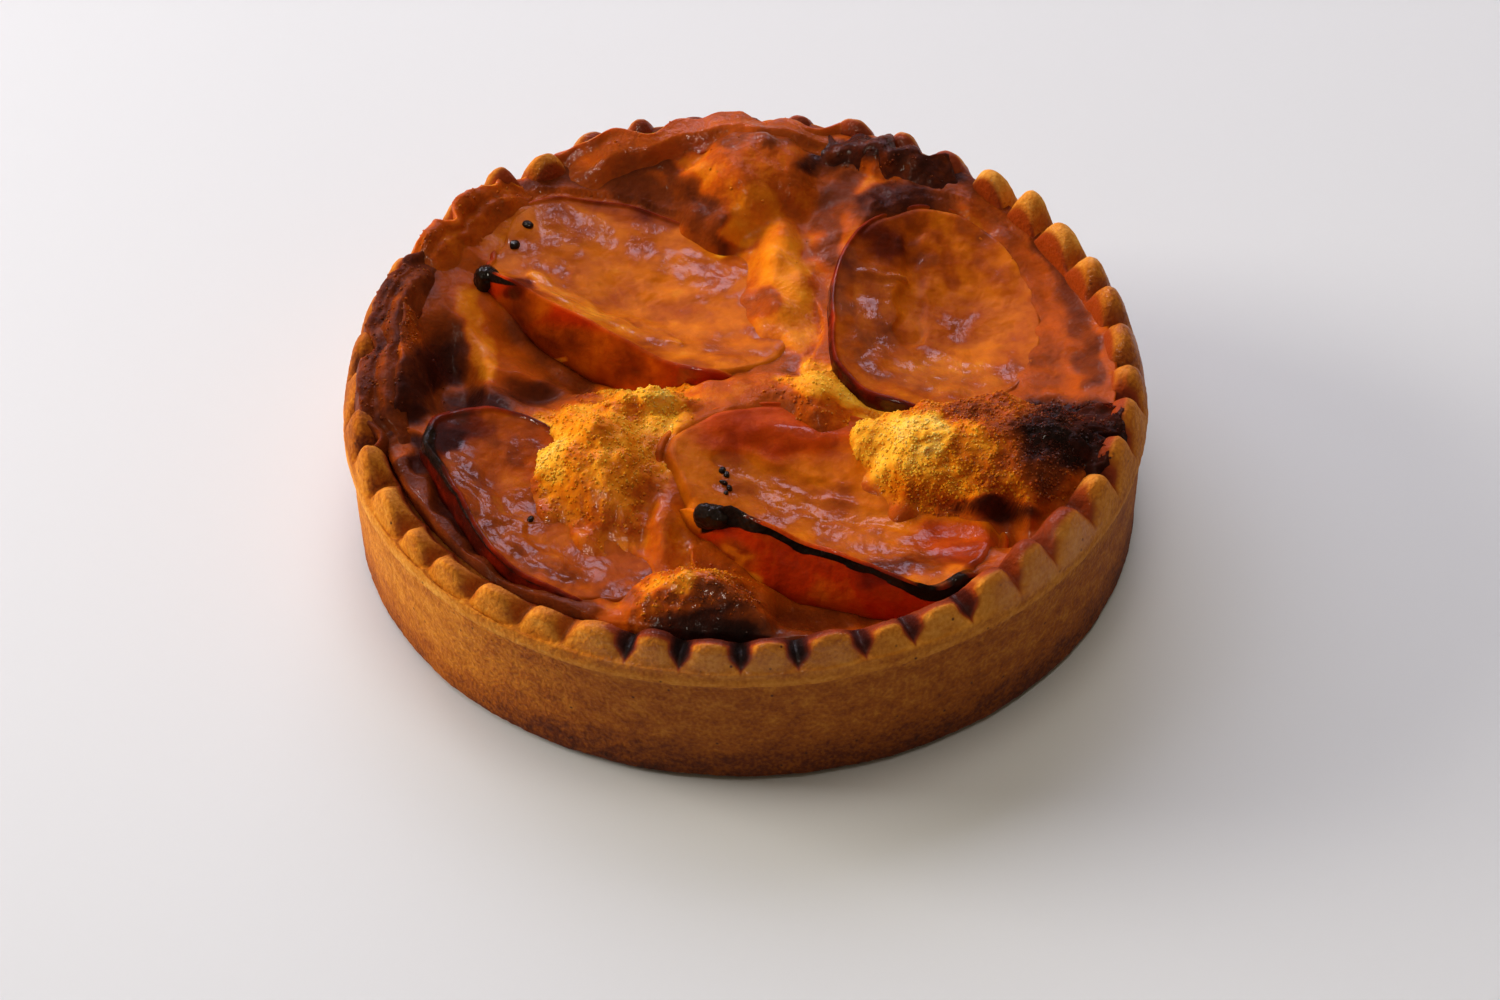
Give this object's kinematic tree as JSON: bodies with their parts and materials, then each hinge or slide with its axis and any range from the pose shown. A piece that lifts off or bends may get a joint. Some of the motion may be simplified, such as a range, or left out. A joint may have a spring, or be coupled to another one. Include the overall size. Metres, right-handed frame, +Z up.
{
  "type": "apricot tart",
  "caption": "Single-portion baked tart: round shortcrust case with a scalloped rim, risen almond filling and glazed apricot halves laid hollow side up.",
  "frame": {"origin": "middle of the flat underside", "axes": "+Z up, -Y towards the front of the tart, +X to its right seen from the front"},
  "size_m": [0.1, 0.1, 0.0268],
  "materials": {
    "shortcrust_pastry": "dry baked crumb, golden brown",
    "almond_filling": "pebbly baked cream, golden to scorched",
    "baked_apricot": "wet glazed fruit with charred edges"
  },
  "bodies": {
    "root": {"pastry_case": "shortcrust_pastry", "almond_filling": "almond_filling", "apricot_half_back_left": "baked_apricot", "apricot_half_back_right": "baked_apricot", "apricot_half_front_right": "baked_apricot", "apricot_half_front_left": "baked_apricot"}
  },
  "joints": []
}
